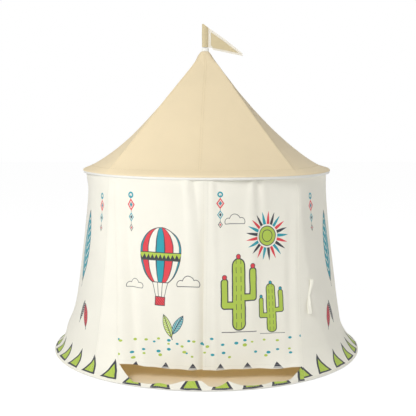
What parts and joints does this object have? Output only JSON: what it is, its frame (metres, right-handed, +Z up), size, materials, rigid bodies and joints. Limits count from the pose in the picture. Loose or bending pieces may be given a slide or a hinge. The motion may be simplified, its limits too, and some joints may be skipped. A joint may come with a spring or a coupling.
{
  "type": "castle play tent",
  "caption": "Round castle play tent with a pole frame, hooped cloth walls, a conical roof, two door curtains and a pennant on a mast.",
  "frame": {"origin": "middle of the floor sheet's underside, on the ground", "axes": "+Z up, the doorway faces -Y, +X to the right of someone who looks in from the front"},
  "size_m": [1.2, 1.2, 1.2676],
  "materials": {
    "tan_cloth": "plain woven polyester",
    "ivory_cloth": "plain woven polyester with a printed border",
    "white_binding": "folded white binding tape",
    "floor_cloth": "coated polyester floor sheet",
    "fibreglass": "pultruded fibreglass rod",
    "steel": "drawn steel ferrule",
    "socket_plastic": "moulded white plastic"
  },
  "bodies": {
    "root": {"floor_mat": "floor_cloth", "base_hem": "white_binding", "eaves_hem": "white_binding", "base_rod_1": "fibreglass", "base_rod_2": "fibreglass", "base_rod_3": "fibreglass", "eaves_rod_1": "fibreglass", "eaves_rod_2": "fibreglass", "eaves_rod_3": "fibreglass", "base_ferrule_1": "steel", "base_ferrule_2": "steel", "base_ferrule_3": "steel", "eaves_ferrule_1": "steel", "eaves_ferrule_2": "steel", "eaves_ferrule_3": "steel", "leg_pole_front_left": "fibreglass", "leg_pole_front_right": "fibreglass", "leg_pole_rear_left": "fibreglass", "leg_pole_rear_right": "fibreglass", "roof_pole_front_left": "fibreglass", "roof_pole_front_right": "fibreglass", "roof_pole_rear_left": "fibreglass", "roof_pole_rear_right": "fibreglass", "leg_foot_front_left": "socket_plastic", "leg_foot_front_right": "socket_plastic", "leg_foot_rear_left": "socket_plastic", "leg_foot_rear_right": "socket_plastic", "eaves_elbow_front_left": "socket_plastic", "eaves_elbow_front_right": "socket_plastic", "eaves_elbow_rear_left": "socket_plastic", "eaves_elbow_rear_right": "socket_plastic", "peak_hub": "socket_plastic", "flag_mast": "fibreglass", "peak_cap": "white_binding", "roof_gore_1": "tan_cloth", "roof_gore_2": "tan_cloth", "roof_gore_3": "tan_cloth", "roof_gore_4": "tan_cloth", "roof_gore_5": "tan_cloth", "roof_gore_6": "tan_cloth", "roof_gore_7": "tan_cloth", "roof_gore_8": "tan_cloth", "wall_panel_1": "ivory_cloth", "wall_panel_2": "ivory_cloth", "wall_panel_3": "ivory_cloth", "wall_panel_4": "ivory_cloth", "wall_panel_5": "ivory_cloth", "wall_panel_6": "ivory_cloth", "door_sill": "ivory_cloth", "door_header": "white_binding", "tie_ribbon": "ivory_cloth"},
    "left_curtain": {"curtain_left": "ivory_cloth"},
    "right_curtain": {"curtain_right": "ivory_cloth"},
    "flag": {"flag_sleeve": "tan_cloth", "flag_pennant": "tan_cloth"}
  },
  "joints": [
    {"name": "left_curtain_draw", "type": "hinge", "parent": "root", "child": "left_curtain", "pos_m": [0, 0, 0.35], "axis": [0, 0, -1], "range_deg": [0, 27]},
    {"name": "right_curtain_draw", "type": "hinge", "parent": "root", "child": "right_curtain", "pos_m": [0, 0, 0.35], "axis": [0, 0, 1], "range_deg": [0, 27]},
    {"name": "flag_turn", "type": "hinge", "parent": "root", "child": "flag", "pos_m": [0, 0, 1.2], "axis": [0, 0, 1], "continuous": true}
  ]
}
